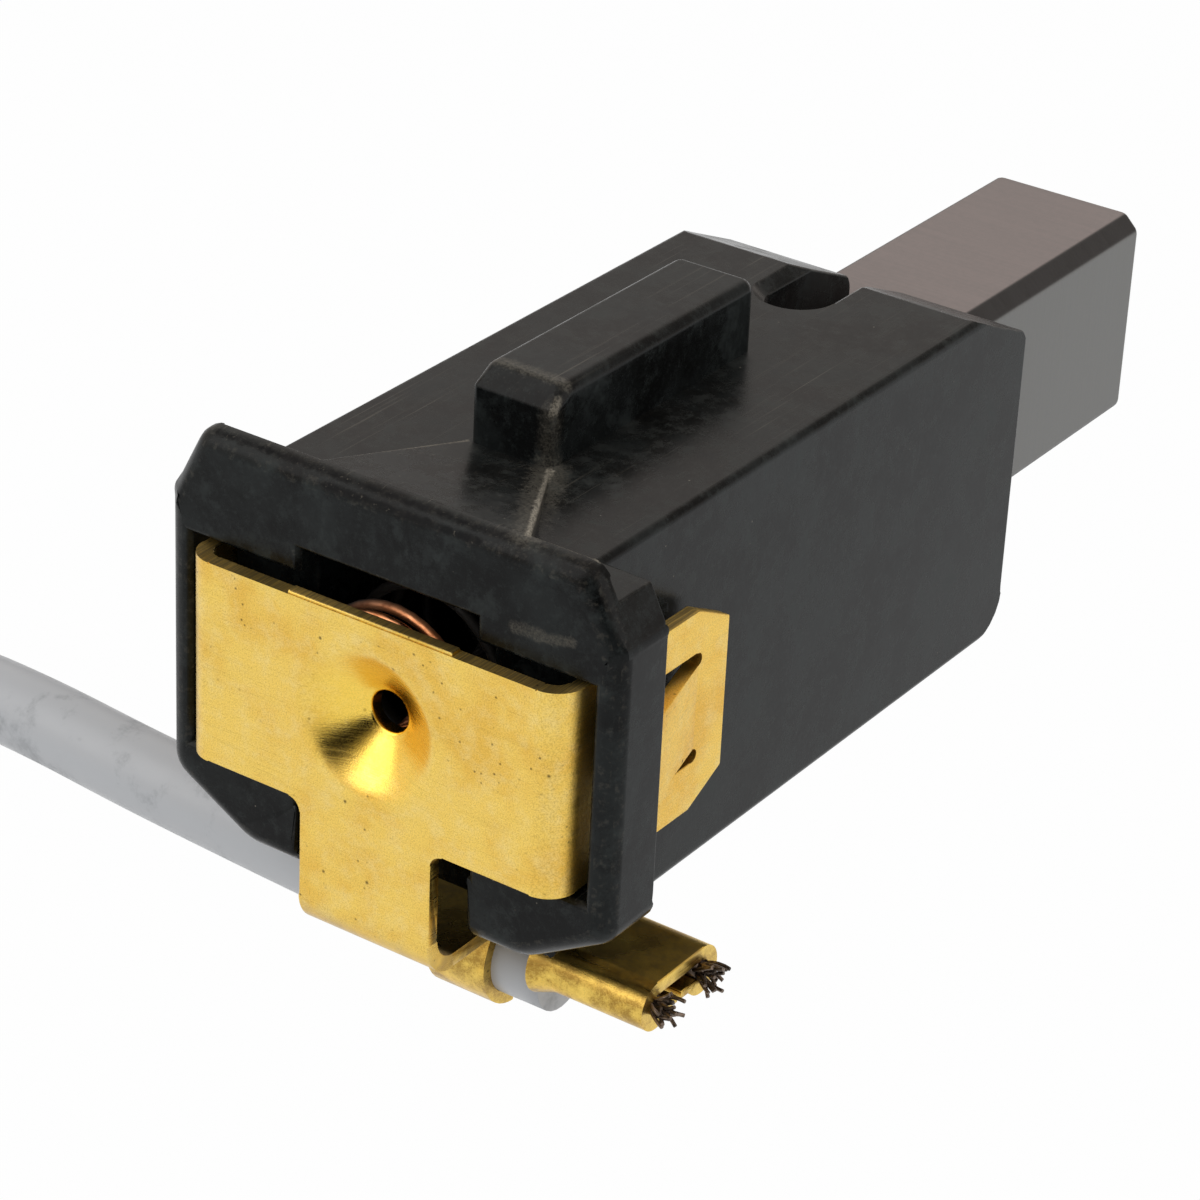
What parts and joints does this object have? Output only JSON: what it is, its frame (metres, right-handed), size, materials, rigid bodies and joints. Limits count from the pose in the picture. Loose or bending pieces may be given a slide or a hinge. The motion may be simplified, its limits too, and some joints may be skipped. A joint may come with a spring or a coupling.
{
  "type": "carbon brush",
  "caption": "Sprung carbon brush in a moulded flanged holder, closed by a folded brass cap that snaps in and is crimped to an insulated lead with a push-on receptacle.",
  "frame": {"origin": "on the brush axis, in the plane of the flange's seating face", "axes": "+Y along the brush towards the commutator, +Z away from the lead, +X across the holder towards the conductor crimp"},
  "size_m": [0.053, 0.0416, 0.0966],
  "materials": {
    "moulded_plastic": "black glass-filled thermoset, dusty, with pale scuffs on its edges",
    "sheet_brass": "bright rolled sheet with fine handling marks",
    "carbon": "ground electrographite, dull grey with a slight sheen",
    "bronze_wire": "drawn copper-coloured spring wire",
    "copper_braid": "fine copper braid",
    "bare_strands": "tarnished copper strands",
    "insulation": "white smooth insulation, slightly glossy"
  },
  "bodies": {
    "housing": {"holder": "moulded_plastic", "terminal_cap": "sheet_brass", "spring": "bronze_wire", "shunt": "copper_braid", "crimped_strands": "bare_strands", "lead_wire": "insulation", "receptacle": "sheet_brass", "receptacle_strands": "bare_strands"},
    "brush": {"carbon_brush": "carbon"}
  },
  "joints": [
    {"name": "brush_slide", "type": "slide", "parent": "housing", "child": "brush", "axis": [0, 1, 0], "range_m": [-0.0075, 0], "stiffness_N_per_m": 250, "springref_m": 0.004, "deforming": ["spring", "shunt"]}
  ]
}
